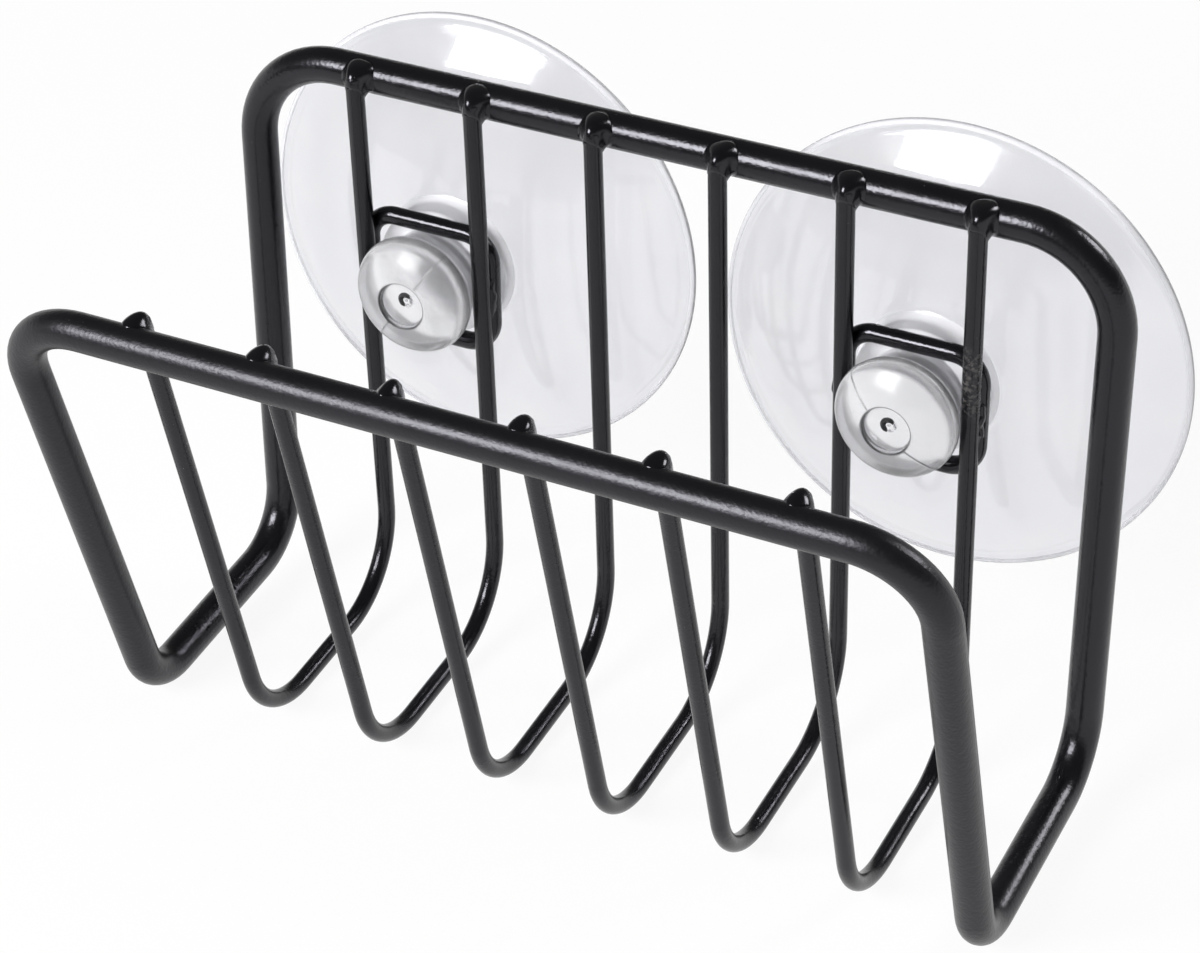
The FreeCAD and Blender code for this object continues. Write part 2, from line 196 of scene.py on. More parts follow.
class Finish(Wiring):
    """A material: constant sockets are set at once, and varying ones are fed by flows."""

    def __init__(self, name, **constants):
        self.material = bpy.data.materials.new(name)
        self.material.use_nodes = True
        super().__init__(self.material.node_tree)
        self.shader = self.tree.nodes["Principled BSDF"]
        self.place = self.node("ShaderNodeTexCoord", output="Object")
        self.shade(**constants)

    def shade(self, **values):
        for socket, value in values.items():
            self.feed(self.shader.inputs[socket.replace("_", " ")], value)
        return self.material

    def along(self, axis):
        """The place on the piece along one axis."""
        return self.node("ShaderNodeSeparateXYZ", None, {0: self.place}, axis)

    def noise(self, grain, detail=2.0):
        """Soft random pattern around a half, whose lumps are about one grain across."""
        return self.node("ShaderNodeTexNoise", None,
                         {"Vector": self.place, "Scale": 1.0 / grain, "Detail": detail}, "Fac")

    def specks(self, spacing, share):
        """One where a dot lies and zero elsewhere: dots sit in cells one spacing apart."""
        sockets = {"Vector": self.place, "Scale": 1.0 / spacing}
        return self.node("ShaderNodeTexVoronoi", None, sockets, "Distance") < share

    def bump(self, height, depth):
        """Normal of a surface that stands up by the height, a part of the depth."""
        return self.node("ShaderNodeBump", None, {"Height": height, "Distance": depth, "Strength": 1.0})


print("finishes are written as sums")

# %% [markdown]
# ## The black coat
# The wire is steel with a satin powder coat. The powder melts to a skin with a fine orange peel,
# which breaks up the edge of each highlight, and a few dust specks stay in it. It has flowed out
# best along the back, so the highlight there is narrow and bright, and at the front it is broader.
# A flat black would look like a drawing. The peel is a shallow bump, and roughness and colour
# wander a little. The last rib is rubbed where the right cup was pushed in beside it.

# %% Powder coat
FRONT_Y, BACK_Y = solid_box[0][1], -15 * MM
COAT_IOR = 1.5
COAT_BLACKS = (0.0022, 0.0022, 0.0028, 1.0), (0.0048, 0.0047, 0.0058, 1.0)
COOL_GLOSS = (0.80, 0.79, 0.87, 1.0)
WORN_GREY = (0.08, 0.075, 0.07, 1.0)
DUST_SPACING, DUST_SHARE, DUST_GREYNESS = 3.4 * MM, 0.02, 0.7
DRIFT_SIZE, PEELS_PER_RIPPLE, RIPPLE_SHARE = 9 * MM, 2.2, 0.4
WORN_ROUGHNESS, RIPPLE_ROUGHNESS, DRIFT_ROUGHNESS = 0.3, 0.08, 0.06
RUBBED_HEIGHTS, RUBBED_BEHIND = (0.0, 13 * MM), 2 * BACK_Y
RUB_FADE, RUB_GRAIN, RUB_EDGE = 4 * MM, 0.6 * MM, (0.42, 0.75)


def powder_coat(name, peel, roughness, depth, dulling=0.0, rubbed=None):
    """Black satin skin: peel is the size of its grains and depth is their height.

    Towards the front it is rougher by the dulling. Where two heights are given, it is rubbed grey
    in spots between them.
    """
    coat = Finish(name, IOR=COAT_IOR, Specular_Tint=COOL_GLOSS)
    ripple = coat.noise(peel * PEELS_PER_RIPPLE, detail=1.0)
    grain = coat.noise(peel, detail=1.0)
    drift = coat.noise(DRIFT_SIZE, detail=1.0)
    black = coat.blend(drift, *COAT_BLACKS)
    dull = coat.fade(coat.along("Y"), FRONT_Y, BACK_Y, dulling, 0.0)
    worn = coat.specks(DUST_SPACING, DUST_SHARE) * DUST_GREYNESS
    if rubbed:
        low, high = rubbed
        height, depth_in = coat.along("Z"), coat.along("Y")
        stretch = coat.fade(height, low, low + RUB_FADE) * coat.fade(height, high, high - RUB_FADE)
        stretch = stretch * coat.fade(depth_in, RUBBED_BEHIND, RUBBED_BEHIND + RUB_FADE)
        worn = worn | stretch * coat.fade(coat.noise(RUB_GRAIN, detail=4.0), *RUB_EDGE)
    rough = roughness + dull + WORN_ROUGHNESS * worn
    rough = rough + RIPPLE_ROUGHNESS * (ripple - 0.5) + DRIFT_ROUGHNESS * (drift - 0.5)
    peaks = ripple * RIPPLE_SHARE + grain * (1.0 - RIPPLE_SHARE) + worn
    return coat.shade(
        Base_Color=coat.blend(worn, black, WORN_GREY),
        Roughness=rough,
        Normal=coat.bump(peaks, depth),
    )


def dress(names, material):
    for name in names:
        nodes[name].data.materials.clear()
        nodes[name].data.materials.append(material)


on_frame = {"peel": 0.45 * MM, "roughness": 0.24, "depth": 0.055 * MM, "dulling": 0.11}
on_ribs = {"peel": 0.38 * MM, "roughness": 0.21, "depth": 0.045 * MM, "dulling": 0.06}
on_rings = {"peel": 0.5 * MM, "roughness": 0.17, "depth": 0.045 * MM}
on_welds = {"peel": 0.9 * MM, "roughness": 0.18, "depth": 0.05 * MM}
dress(["frame_wire"], powder_coat("satin_frame_coat", **on_frame))
dress(RIBS[:-1], powder_coat("satin_rib_coat", **on_ribs))
dress(RIBS[-1:], powder_coat("rubbed_rib_coat", **on_ribs, rubbed=RUBBED_HEIGHTS))
dress([side + "_cup_ring" for side in SIDES], powder_coat("gloss_ring_coat", **on_rings))
pooled_coat = powder_coat("pooled_weld_coat", **on_welds)
print("wires coated")

# %% [markdown]
# ## Skins from grids
# Welds and mouldings have smooth curved faces that no plain solid gives. They could be sculpted,
# but a formula says the same in a few lines and can be changed later. Each surface here is a
# function of two parameters, worked out on a whole grid at once and joined up by quads.


# %% Turn grids of points into a closed mesh
MERGE = 0.0001 * MM


def skin(name, grids, ring=True):
    """One mesh of closed patches, from an array with the axes patch, row, column, coordinate.

    Quads join each point to the next row and column. Columns run round and close. Rows close
    too on a ring. Otherwise the first and last row are poles, whose points merge into one.
    """
    patches, rows, columns, _ = grids.shape
    row = np.arange(rows if ring else rows - 1)[:, None]
    column = np.arange(columns)[None, :]
    below, beside = (row + 1) % rows, (column + 1) % columns
    corners = [row * columns + column, below * columns + column,
               below * columns + beside, row * columns + beside]
    quads = np.stack(corners, axis=-1).reshape(1, -1, 4)
    starts = np.arange(patches)[:, None, None] * rows * columns
    mesh = bpy.data.meshes.new(name)
    mesh.from_pydata(grids.reshape(-1, 3).tolist(), [], (quads + starts).reshape(-1, 4).tolist())
    work = bmesh.new()
    work.from_mesh(mesh)
    bmesh.ops.remove_doubles(work, verts=work.verts, dist=MERGE)
    bmesh.ops.recalc_face_normals(work, faces=work.faces)
    work.to_mesh(mesh)
    work.free()
    mesh.shade_smooth()
    piece = bpy.data.objects.new(name, mesh)
    bpy.context.scene.collection.objects.link(piece)
    print(name, "faces:", len(mesh.polygons))
    return piece


def stand_for(piece, node, body, slot, *materials):
    """The piece takes a solid's place, rides on its body and wears its finishes."""
    for material in materials:
        piece.data.materials.append(material)
    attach(piece, body)
    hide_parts(node)


print("points closer than", MERGE, "m become one")

# %% [markdown]
# ## Coat pooled at the crossings
# Where a rib is welded to a rail, the melted coat runs together over the rib's end and sets as a
# glossy hood that hides it. A boolean and a bevel could make it, but wires that barely sink into
# each other give bad edges. Instead each hood is drawn as curves from the rail to the rib: high
# over the rib's end, leaning on its flanks, and hollow like a fillet underneath.

# %% Places of the rails and ribs, read from the solids
FRAME_RADIUS = 2.5 * MM
RIB_RADIUS = 1.25 * MM
WELD_SINK = 0.3 * MM
FOREMOST_BAND = 0.05 * MM
rib_boxes = np.array([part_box(name) for name in RIBS])
rib_x = rib_boxes[:, :, 0].mean(axis=1)
frame_low, frame_high = np.array(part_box("frame_wire"))
frame_points = np.array([vertex.co for vertex in nodes["frame_wire"].data.vertices])
foremost = frame_points[frame_points[:, 1] < frame_low[1] + FOREMOST_BAND]
back_rail = np.array([0.0, frame_high[1] - FRAME_RADIUS, frame_high[2] - FRAME_RADIUS])
front_rail = np.array([0.0, frame_low[1] + FRAME_RADIUS, foremost[:, 2].mean()])
print("rails at", np.round(back_rail / MM, 2), np.round(front_rail / MM, 2))
print("ribs at", np.round(rib_x / MM, 2))


# %% Hoods over the crossings of the ribs with a rail
COAT_SKIN = 0.06 * MM
CREASE_DROP, CREASE_OUT, CREASE_DIP = 1.6 * MM, 2.7 * MM, 0.7 * MM
HIDDEN = 0.35 * MM
UNEVENNESS, WAVES, LEAST_WAVE = 0.06, 5, 0.3
BACK_HOODS = {"rail_reach": (2.6, 2.3, 3.6, 2.6), "rib_seam": (-2.6, -0.2), "peak": (3.2, 5.0),
              "flare": (1.95, 1.95), "rib_lean": 0.0425, "seed": 11}
FRONT_HOODS = {"rail_reach": (1.75, 1.9, 3.0, 2.8), "rib_seam": (-2.6, 0.0), "peak": (2.7, 4.9),
               "flare": (1.75, 1.95), "rib_lean": 0.038, "seed": 23}


def wobble(count, angle, strength, seed):
    """One uneven factor near 1 per crossing and angle: a few low waves with random phases."""
    dice = np.random.default_rng(seed)
    waves = np.arange(1, WAVES + 1)[:, None, None]
    phases = dice.uniform(0, math.tau, (WAVES, count, 1))
    heights = dice.uniform(LEAST_WAVE, 1.0, (WAVES, count, 1)) * strength / waves**0.5
    return 1.0 + (heights * np.cos(waves * angle + phases)).sum(axis=0)


def coat_hoods(rail, outward, rail_reach, rib_seam, peak, flare, rib_lean, seed, turns=96, steps=14):
    """Rings of pooled coat over the crossings of the ribs with a rail.

    In local axes along the rail, along the rib and outward, angle a goes round a crossing. One
    seam is an ellipse laid on the rail's surface: its reach times cos a along it and times sin a
    round it, with a reach each to the left, right, up and down. The other is a tilted ring round
    the rib: the rib's radius times cos a and sin a, at a height that goes with sin a from the low
    to the high end of the rib seam. A quadratic curve runs from seam to seam. Its control point
    stands off beside the crease by the flare, left and right, and rises to the peak above the
    rib's end. The way back from seam to seam lies inside the wires. Lengths are in millimetres.
    """
    left, right, up, down = np.array(rail_reach) * MM
    rib_seam, peak, flare = np.array(rib_seam) * MM, np.array(peak) * MM, np.array(flare) * MM
    angle = np.linspace(0, math.tau, turns, endpoint=False)[None, :]
    uneven = wobble(len(rib_x), angle, UNEVENNESS, seed)
    cosine, sine = np.cos(angle) + 0 * uneven, np.sin(angle) + 0 * uneven
    upper, lower = np.maximum(sine, 0.0), np.maximum(-sine, 0.0)
    centre_gap = FRAME_RADIUS + RIB_RADIUS - WELD_SINK
    sideways = np.where(cosine > 0, right, left) * cosine * uneven
    bend = (up * upper - down * lower) * uneven / FRAME_RADIUS
    seam_height = np.mean(rib_seam) + np.ptp(rib_seam) / 2 * sine * uneven

    def on_rail(radius):
        return np.stack([sideways, radius * np.sin(bend), radius * np.cos(bend)], axis=-1)

    def on_rib(radius):
        out = centre_gap + radius * sine + rib_lean * seam_height
        return np.stack([radius * cosine, seam_height, out], axis=-1)

    height = peak[0] * upper * uneven - CREASE_DROP * lower
    out = CREASE_OUT + (peak[1] - CREASE_OUT) * upper**2 - CREASE_DIP * lower**2
    aside = np.where(cosine > 0, flare[1], flare[0]) * cosine * uneven
    control = np.stack([aside, height, out + rib_lean * height], axis=-1)
    step = np.linspace(0, 1, steps)[None, :, None, None]
    curve = ((1 - step)**2 * on_rail(FRAME_RADIUS)[:, None] + 2 * step * (1 - step) * control[:, None]
             + step**2 * on_rib(RIB_RADIUS + COAT_SKIN)[:, None])
    heart = RIB_RADIUS / 2
    core = np.stack([heart * cosine, heart * sine, FRAME_RADIUS - WELD_SINK + 0 * sine], axis=-1)
    sunk_rail, sunk_rib = on_rail(FRAME_RADIUS - HIDDEN), on_rib(RIB_RADIUS - HIDDEN)
    rows = [sunk_rail[:, None], curve, sunk_rib[:, None], core[:, None]]
    axes = np.array([(1.0, 0.0, 0.0), (0.0, -abs(outward[2]), abs(outward[1])), outward])
    crossings = rail + rib_x[:, None] * np.array([1.0, 0.0, 0.0])
    return crossings[:, None, None, :] + np.concatenate(rows, axis=1) @ axes


# The ribs stand straight before the back rail. The front leans, so there they stand behind its
# rail along the normal of the slope.
back_out = np.array([0.0, -1.0, 0.0])
front_out = np.array([0.0, 0.9547, 0.2978])
for end, hoods in (("back", coat_hoods(back_rail, back_out, **BACK_HOODS)),
                   ("front", coat_hoods(front_rail, front_out, **FRONT_HOODS))):
    piece = skin(end + "_rail_hoods", hoods)
    stand_for(piece, end + "_rail_welds", "basket", "weld_coat", pooled_coat)


# %% [markdown]
# ## Weld metal beside the rings
# The rings are welded by hand from behind, and the bead stays lumpy under the coat. A noise
# texture would only pretend to be lumpy from the front, so the lumps are real: each bead is a
# ball, stretched along the groove between ring and rib, whose radius ripples.

# %% Lumpy beads in the grooves between the rings and their ribs
BEAD_HALF = np.array([0.72, 0.85, 3.1]) * MM
BEAD_ASIDE, BEAD_BEHIND = 0.95 * MM, 0.15 * MM
SWELLS, SWELLS_ALONG, SWELLS_AROUND, SWELL_PITCH = 6, (2, 8), (1, 4), 1.3
RING_BEADS = {"left": {"ribs": (0, 1), "ripple": 0.35, "seed": 5},
              "right": {"ribs": (4, 5), "ripple": 0.6, "seed": 8}}


def lumpy_beads(centres, ripple, seed, turns=40, rows=64):
    """Unit balls at latitude and longitude, stretched to the bead, with ripples in their radius."""
    dice = np.random.default_rng(seed)
    latitude = np.linspace(-math.pi / 2, math.pi / 2, rows)[:, None]
    longitude = np.linspace(0, math.tau, turns, endpoint=False)[None, :]
    ball = np.stack([np.cos(latitude) * np.cos(longitude), np.cos(latitude) * np.sin(longitude),
                     np.sin(latitude) + 0 * longitude], axis=-1)
    shape = (SWELLS, len(centres), 1, 1)
    along, around = dice.integers(*SWELLS_ALONG, shape), dice.integers(*SWELLS_AROUND, shape)
    phases = dice.uniform(0, math.tau, (2, *shape))
    ups_along = np.cos(along * SWELL_PITCH * latitude + phases[0])
    swell = ups_along * np.cos(around * longitude + phases[1])
    radius = 1.0 + ripple * (swell * np.cos(latitude)).mean(axis=0)
    return centres[:, None, None, :] + ball * radius[..., None] * BEAD_HALF


for side, seam in RING_BEADS.items():
    ring_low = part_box(side + "_cup_ring")[0]
    groove_y = ring_low[1] + BEAD_BEHIND
    flanks = np.array([(rib_x[rib] + flank * BEAD_ASIDE, groove_y, 0.0)
                       for rib in seam["ribs"] for flank in (-1, 1)])
    beads = skin(side + "_ring_beads", lumpy_beads(flanks, seam["ripple"], seam["seed"]), ring=False)
    stand_for(beads, side + "_ring_welds", "basket", "weld_coat", pooled_coat)


# %% [markdown]
# ## The cups
# A suction cup is one soft clear moulding: a dished disc with a thin lip, a boss behind the ring,
# a neck through it and a mushroom knob with a dimple where the mould was fed. Through clear
# plastic every flat facet shows, so the section is turned as a fine smooth skin. The mould also
# leaves a hair-thin ridge over the knob where its halves met, and a torn stub in the dimple.

# %% The section of a cup, from the middle of its hollow round to the middle of its knob
cup_low, cup_high = np.array(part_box("left_suction_cup"))
CUP_RADIUS = (cup_high[0] - cup_low[0]) / 2
LIP_WIDTH, LIP_THICKNESS = 1.5 * MM, 1.2 * MM
HOLLOW_DEPTH = 8.0 * MM
BOSS_RADIUS, DISH_FOOT, BOSS_FRONT = 9.2 * MM, 9.9 * MM, 13.67 * MM
NECK_RADIUS = 6.8 * MM
SHOULDER_RADIUS, SHOULDER_AT = 2.4 * MM, np.array([6.107, -20.09]) * MM
DOME_RADIUS = 13.0 * MM
DIMPLE_RADIUS, DIMPLE_DEPTH = 3.25 * MM, 1.2 * MM
FOOT_FILLET, EDGE_ROUND, FINE_ROUND = 1.5 * MM, 0.7 * MM, 0.3 * MM


def arc(centre, radius, start, end, count):
    """Points of a circle between two angles, from the radial axis towards the wall."""
    angle = np.linspace(start, end, count)[:, None]
    return np.array(centre) + radius * np.concatenate([np.cos(angle), np.sin(angle)], axis=1)


def sphere_on_axis(one, other):
    """Centre on the axis and radius of the circle through two points of the section."""
    centre = (one @ one - other @ other) / (2 * (one[1] - other[1]))
    return centre, math.hypot(one[0], one[1] - centre)


def angle_of(place, centre):
    return math.atan2(place[1] - centre[1], place[0] - centre[0])


def cup_section():
    """The section as points (radius, depth), and the first row of its knob and of its dimple.

    It is a row of arcs with straight lines between. Spheres on the axis give the hollow, the dish
    and the dome, and small rounds ease the corners. The dimple's floor is cut into fine steps, so
    that a stub can rise from it.
    """
    half_turn, quarter = math.pi, math.pi / 2
    lip_inner = CUP_RADIUS - LIP_WIDTH
    lip_round = LIP_THICKNESS / 2
    lip_front = np.array([lip_inner, -LIP_THICKNESS])
    hollow, hollow_radius = sphere_on_axis(np.array([0.0, -HOLLOW_DEPTH]), np.array([lip_inner, 0.0]))
    dish, dish_radius = sphere_on_axis(lip_front, np.array([BOSS_RADIUS, -DISH_FOOT]))
    foot_r = BOSS_RADIUS + FOOT_FILLET
    foot = (foot_r, dish - math.sqrt((dish_radius + FOOT_FILLET)**2 - foot_r**2))
    dome = SHOULDER_AT[1] + math.sqrt((DOME_RADIUS - SHOULDER_RADIUS)**2 - SHOULDER_AT[0]**2)
    meeting = angle_of(SHOULDER_AT, (0.0, dome))
    neck_turn = math.acos((NECK_RADIUS - SHOULDER_AT[0]) / SHOULDER_RADIUS)
    mouth_r = DIMPLE_RADIUS + FINE_ROUND
    mouth = (mouth_r, dome - math.sqrt((DOME_RADIUS - FINE_ROUND)**2 - mouth_r**2))
    floor = dome - DOME_RADIUS + DIMPLE_DEPTH
    edge_r = BOSS_RADIUS - EDGE_ROUND
    disc = np.concatenate([
        arc((0, hollow), hollow_radius, -quarter, angle_of((lip_inner, 0), (0, hollow)), 44),
        arc((CUP_RADIUS - lip_round, -lip_round), lip_round, quarter, -quarter, 18),
        arc((0, dish), dish_radius, angle_of(lip_front, (0, dish)), angle_of(foot, (0, dish)), 44),
        arc(foot, FOOT_FILLET, angle_of((0, dish), foot), half_turn, 10),
        arc((edge_r, EDGE_ROUND - BOSS_FRONT), EDGE_ROUND, 0, -quarter, 8),
        arc((NECK_RADIUS + FINE_ROUND, -BOSS_FRONT - FINE_ROUND), FINE_ROUND, quarter, half_turn, 6),
    ])
    knob = np.concatenate([
        arc(SHOULDER_AT, SHOULDER_RADIUS, neck_turn, meeting, 28),
        arc((0, dome), DOME_RADIUS, meeting, angle_of(mouth, (0, dome)), 34),
    ])
    dimple = np.concatenate([
        arc(mouth, FINE_ROUND, angle_of(mouth, (0, dome)), -half_turn, 7),
        arc((DIMPLE_RADIUS - FINE_ROUND, floor - FINE_ROUND), FINE_ROUND, 0, quarter, 6),
        np.linspace((DIMPLE_RADIUS - 2 * FINE_ROUND, floor), (0.0, floor), 40),
    ])
    return np.concatenate([disc, knob, dimple]), len(disc), len(disc) + len(knob)


section, knob_row, dimple_row = cup_section()
print("cup section rows:", len(section), "front at", round(section[:, 1].min() / MM, 2), "mm")

# %% Turn the section, raise the parting ridge and tear the feed stub
EVEN_COLUMNS, RIDGE_COLUMNS, RIDGE_DEGREES = 240, 17, 3.2
RIDGE_HEIGHT, RIDGE_HALF = 0.08 * MM, 0.12 * MM
KNOB_FADE_ROWS, MOUTH_FADE_ROWS = 6, 3
STUB_RADIUS, STUB_HEIGHT, STUB_WALL = 0.8 * MM, 0.55 * MM, 0.2 * MM
STUB_FIRST_ROW, STUB_FADE_ROWS = 15, 6
STUB_MIDDLE_SHARE, TEAR_SHARE, TEAR_TURNS = 0.5, 0.35, (0.7, -1.1)


def bell(distance, width):
    """Bell curve: one at no distance, and near zero beyond two widths."""
    return np.exp(-(distance / width)**2)


def cup_skin(axis_x, parting, stub):
    """The section turned about the cup's axis, with what the mould left on it.

    Each point is pushed along its normal by the ridge, a bell curve of its distance from the
    parting plane, on the knob only. In the dimple it is pushed outwards by the stub: a bell
    curve of the distance from a small circle, torn by two crossing waves, round a small peak.
    """
    near = np.radians(np.linspace(-RIDGE_DEGREES, RIDGE_DEGREES, RIDGE_COLUMNS))
    even = np.linspace(0, math.tau, EVEN_COLUMNS, endpoint=False)
    ends = np.concatenate([parting + near, parting + math.pi + near]) % math.tau
    angle = np.unique(np.concatenate([even, ends]))
    radius, depth = section[:, :1], section[:, 1:]
    slope = np.gradient(section, axis=0)
    normal = np.stack([-slope[:, 1], slope[:, 0]], axis=1)
    normal /= np.linalg.norm(normal, axis=1, keepdims=True)
    row = np.arange(len(section))[:, None]
    before_mouth = np.clip((dimple_row - row) / MOUTH_FADE_ROWS, 0, 1)
    on_knob = np.clip((row - knob_row) / KNOB_FADE_ROWS, 0, 1) * before_mouth
    ridge = RIDGE_HEIGHT * on_knob * bell(radius * np.sin(angle - parting), RIDGE_HALF)
    x, z = radius * np.cos(angle), radius * np.sin(angle)
    from_stub = np.hypot(x - stub[0], z - stub[1])
    bearing = np.arctan2(z - stub[1], x - stub[0])
    two_turn, three_turn = TEAR_TURNS
    tear = TEAR_SHARE * np.cos(2 * bearing + two_turn) * np.cos(3 * bearing + three_turn)
    stub_lift = STUB_HEIGHT * (1 - TEAR_SHARE + tear) * bell(from_stub - STUB_RADIUS, STUB_WALL)
    stub_lift += STUB_MIDDLE_SHARE * STUB_HEIGHT * bell(from_stub, STUB_WALL)
    in_dimple = np.clip((row - dimple_row - STUB_FIRST_ROW) / STUB_FADE_ROWS, 0, 1)
    push = ridge + in_dimple * stub_lift
    out = radius + push * normal[:, :1]
    x, z = axis_x + out * np.cos(angle), out * np.sin(angle)
    grid = np.stack([x, depth + push * normal[:, 1:], z], axis=-1)
    grid[-1, :] = grid[-1, 0]
    return grid[None]


print("ridge on rows", knob_row, "to", dimple_row, "and stub from row", dimple_row + STUB_FIRST_ROW)

# %% Painted shade on the dimple's wall and the stub's rim, and a dark line along the parting
MARK_WIDTH, STUB_SHADE_WIDTH = 0.15 * MM, 0.36 * MM
WALL_SHADE, PARTING_MARK, LEAST_STUB_SHADE = 0.92, 0.5, 0.3
STUB_SHADE_SIDE, STUB_SHADE_SPREAD = 2.6, 0.7


def painted_shade_and_line_marks(cup, axis_x, parting, stub):
    """Painted shade and a dark line on the knob: one on a mark and zero elsewhere, as bell curves.

    Painted shade follows the distance from the dimple's wall and, more faintly, a dark line the
    distance from the parting plane. Returns which faces take painted shade on the torn rim of the
    stub, a broken circle, and the middles of all faces, measured from the cup's axis.
    """
    places = np.empty(3 * len(cup.data.vertices))
    cup.data.vertices.foreach_get("co", places)
    x, depth, z = places.reshape(-1, 3).T
    x = x - axis_x
    radius = np.hypot(x, z)
    # The dimple's wall gets painted shade, a dark ring. The parting plane gets a fainter dark line.
    wall = WALL_SHADE * bell(radius - DIMPLE_RADIUS - FINE_ROUND / 2, MARK_WIDTH)
    from_plane = x * math.sin(parting) - z * math.cos(parting)
    line = PARTING_MARK * bell(from_plane, MARK_WIDTH) * (radius > DIMPLE_RADIUS)
    marks = (depth < SHOULDER_AT[1]) * np.maximum(wall, line)
    layer = cup.data.attributes.new("shade_and_line_mark", "FLOAT", "POINT")
    layer.data.foreach_set("value", marks.astype(np.float32))
    middles = np.array([face.center for face in cup.data.polygons]) - np.array([axis_x, 0.0, 0.0])
    x, z = middles[:, 0] - stub[0], middles[:, 2] - stub[1]
    # The torn rim of the stub takes painted shade: near black, on a broken circle round the stub.
    broken = np.clip(STUB_SHADE_SPREAD + np.cos(np.arctan2(z, x) - STUB_SHADE_SIDE), 0, 1)
    torn = broken * bell(np.hypot(x, z) - STUB_RADIUS, STUB_SHADE_WIDTH)
    print(cup.name, "marked points:", int((marks > 0.5).sum()))
    return (middles[:, 1] < SHOULDER_AT[1]) & (torn > LEAST_STUB_SHADE), middles


# %% [markdown]
# ## Clear soft plastic
# The moulding is one clear soft vinyl, but it does not look the same all over. The thin disc is
# nearly clear with a lilac tinge, thick parts and the lip look milky, and the knob is pearly. Its
# dimple's wall is painted with shade, a dark ring, and a fainter dark line is painted along the
# parting plane. One glass shader would give a hard crystal, so three mixtures of clear and milky
# are worn by the faces of one skin. The torn rim of the stub is painted near black as shade, so
# it has a dark finish of its own.


# %% Vinyl, thin and thick
# Near black for the painted shade on the dimple's wall and the dark line along the parting plane.
SHADE_AND_LINE_BLACK = (0.003, 0.003, 0.004, 1.0)
HAZE_SIZE, HAZE_ROUGHNESS = 9 * MM, 0.10
FLOW_SIZE, FLOW_DEPTH = 4 * MM, 0.06 * MM


def clear_vinyl(name, thin, thick, roughness, marked=False, **constants):
    """Soft clear plastic whose haze drifts from the thin to the thick colour."""
    vinyl = Finish(name, **constants)
    haze = vinyl.noise(HAZE_SIZE)
    flow = vinyl.noise(FLOW_SIZE, detail=1.0)
    colour = vinyl.blend(haze, thin, thick)
    if marked:
        # Painted shade on the dimple's wall and a faint dark line along the parting plane darken the
        # colour.
        mark = vinyl.node("ShaderNodeAttribute", {"attribute_name": "shade_and_line_mark"}, output="Fac")
        colour = vinyl.blend(mark, colour, SHADE_AND_LINE_BLACK)
    return vinyl.shade(
        Base_Color=colour,
        Roughness=roughness + HAZE_ROUGHNESS * (haze - 0.5),
        Normal=vinyl.bump(flow, FLOW_DEPTH),
    )


disc_vinyl = clear_vinyl(
    "clear_disc_vinyl", thin=(0.80, 0.80, 0.85, 1.0), thick=(0.88, 0.88, 0.90, 1.0), roughness=0.12,
    IOR=1.5, Transmission_Weight=0.97, Specular_IOR_Level=0.25, Coat_Weight=0.3, Coat_Roughness=0.03)
milky_vinyl = clear_vinyl(
    "milky_edge_vinyl", thin=(0.80, 0.80, 0.84, 1.0), thick=(0.88, 0.88, 0.91, 1.0), roughness=0.21,
    IOR=1.36, Transmission_Weight=0.55, Specular_IOR_Level=0.1)
knob_vinyl = clear_vinyl(
    "pearly_knob_vinyl", thin=(0.76, 0.76, 0.78, 1.0), thick=(0.90, 0.90, 0.91, 1.0), roughness=0.21,
    marked=True, IOR=1.36, Transmission_Weight=0.84, Specular_IOR_Level=0.05)
# Near black: painted shade for the torn rim of the stub.
stub_shade_vinyl = clear_vinyl(
    "painted_shade_stub_vinyl", thin=(0.012, 0.012, 0.013, 1.0), thick=(0.05, 0.05, 0.052, 1.0), roughness=0.5,
    Specular_IOR_Level=0.2)
print("vinyls mixed")

# %% Cups
VINYLS = (disc_vinyl, milky_vinyl, knob_vinyl, stub_shade_vinyl)
DISC, MILKY, KNOB, STUB_SHADE = range(len(VINYLS))
KNOB_FOOT = section[knob_row, 1]
PARTING_DEGREES = {"left": 55, "right": 138}
STUB_PLACES_MM = {"left": (0.5, 0.75), "right": (0.15, 0.5)}
for side in SIDES:
    low, high = np.array(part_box(side + "_suction_cup"))
    axis_x = (low[0] + high[0]) / 2
    parting, stub = math.radians(PARTING_DEGREES[side]), np.array(STUB_PLACES_MM[side]) * MM
    cup = skin(side + "_cup_moulding", cup_skin(axis_x, parting, stub), ring=False)
    torn, middles = painted_shade_and_line_marks(cup, axis_x, parting, stub)
    on_lip = np.hypot(middles[:, 0], middles[:, 2]) > CUP_RADIUS - LIP_THICKNESS / 2
    on_knob, thick = middles[:, 1] < KNOB_FOOT, on_lip | (middles[:, 1] < -DISH_FOOT)
    # Faces on the stub's torn rim wear the near-black painted shade.
    kinds = np.select([torn, on_knob, thick], [STUB_SHADE, KNOB, MILKY], DISC)
    cup.data.polygons.foreach_set("material_index", kinds.astype(np.int32))
    stand_for(cup, side + "_suction_cup", side + "_cup", "clear_pvc", *VINYLS)


# %% [markdown]
# ## Light and floor
# The photograph has a white ground, one large softbox at the front left, a weaker one behind at
# the right, and little light from above: the rails are bright along their middle and dark on top.
# Lamps could be moved about until it looks right, but a highlight on a round wire says where its
# lamp stands: halfway between the lamp and the viewer is the wire's own normal. Just below each
# highlight runs a dark line, so a dark card stands below the softbox, as in many studios. It is
# left out of direct view and casts no shadow, so it shows only in gloss and through clear plastic.


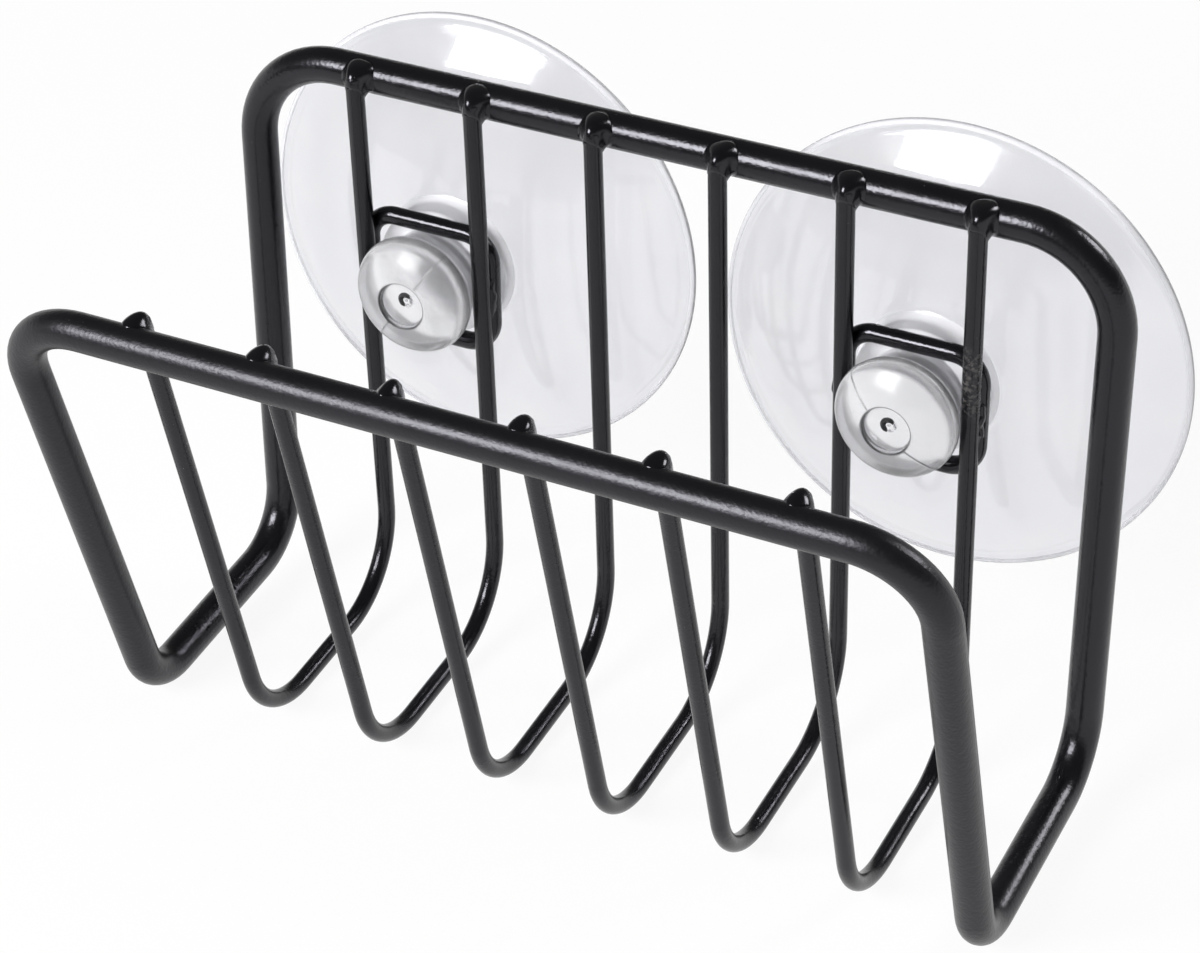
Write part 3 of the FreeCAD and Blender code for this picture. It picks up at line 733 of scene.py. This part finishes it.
# %% World and paper
SKY_SHARE, SKY_TOP = 0.12, 0.3
world = bpy.data.worlds.new("white_studio")
world.use_nodes = True
bpy.context.scene.world = world
air = Wiring(world.node_tree)
way = air.node("ShaderNodeTexCoord", output="Generated")
height = air.node("ShaderNodeSeparateXYZ", None, {0: way}, "Z")
sky = world.node_tree.nodes["Background"].inputs
air.feed(sky["Color"], (1.0, 1.0, 1.0, 1.0))
air.feed(sky["Strength"], air.fade(height, 0.0, SKY_TOP, 1.0, SKY_SHARE))

SHADOW_SHARE, SHADOW_NEAR, SHADOW_FAR = 0.08, 0.15, 0.5
paper = Finish(
    "white_ground", Base_Color=(0.93, 0.93, 0.93, 1.0), Roughness=0.9, Specular_IOR_Level=0.1)
glow = paper.node("ShaderNodeEmission")
lit = Flow(paper, paper.shader.outputs[0])
away = paper.node("ShaderNodeVectorMath", {"operation": "LENGTH"}, {0: paper.place}, "Value")
shadow = paper.fade(away, SHADOW_NEAR, SHADOW_FAR, SHADOW_SHARE, 0.0)
white = paper.seen_rays() * (1.0 - shadow)
mixed = paper.node("ShaderNodeMixShader", None, {0: white, 1: lit, 2: glow})
paper.feed(paper.tree.nodes["Material Output"].inputs["Surface"], mixed)
print("world and paper are white, and the paper keeps", SHADOW_SHARE, "of the shadow")


# %% Boards, the card and the softboxes
FRONT_LEFT, BACK_RIGHT = -25, 139
FLOOR_GAP, FLOOR_SIZE = 0.05 * MM, (6.0, 6.0)
CARD_ELEVATION, CARD_DISTANCE, CARD_SIZE = 8, 0.55, (0.8, 0.24)
FELT_GRAIN, FELT_BLACKS = 20 * MM, ((0.02, 0.02, 0.02, 1.0), (0.04, 0.04, 0.04, 1.0))


def soft_box(name, azimuth, elevation, distance, size, watts):
    """A rectangular lamp that looks at the object from these angles, in degrees."""
    lamp = bpy.data.lights.new(name, "AREA")
    lamp.shape = "RECTANGLE"
    lamp.size, lamp.size_y = size
    lamp.energy = watts
    box = bpy.data.objects.new(name, lamp)
    box.matrix_world = facing(math.radians(azimuth), math.radians(elevation), distance)
    bpy.context.scene.collection.objects.link(box)


def stage_board(name, place, size, material):
    """A flat rectangle of that size, laid on the first two axes of its place."""
    corners = np.array([(-1, -1), (1, -1), (1, 1), (-1, 1)]) * np.array(size) / 2
    mesh = bpy.data.meshes.new(name)
    mesh.from_pydata([place @ Vector((x, y, 0.0)) for x, y in corners], [], [(0, 1, 2, 3)])
    mesh.materials.append(material)
    board = bpy.data.objects.new(name, mesh)
    bpy.context.scene.collection.objects.link(board)
    return board


floor_z = solid_box[0][2] - FLOOR_GAP
flat = Matrix.Translation((0.0, 0.0, floor_z))
stage_board("studio_floor", flat, FLOOR_SIZE, paper.material)
felt = Finish("dark_card", Roughness=0.9, Specular_IOR_Level=0.1)
felt.shade(Base_Color=felt.blend(felt.noise(FELT_GRAIN), *FELT_BLACKS))
below_softbox = facing(math.radians(FRONT_LEFT), math.radians(CARD_ELEVATION), CARD_DISTANCE)
card = stage_board("dark_card", below_softbox, CARD_SIZE, felt.material)
card.visible_camera = card.visible_diffuse = card.visible_shadow = False
soft_box("front_left_softbox", FRONT_LEFT, elevation=30, distance=0.9, size=(0.42, 0.36), watts=11.5)
soft_box("back_right_softbox", BACK_RIGHT, elevation=34, distance=1.0, size=(0.30, 0.30), watts=3.5)
print("floor at", round(floor_z / MM, 2), "mm")
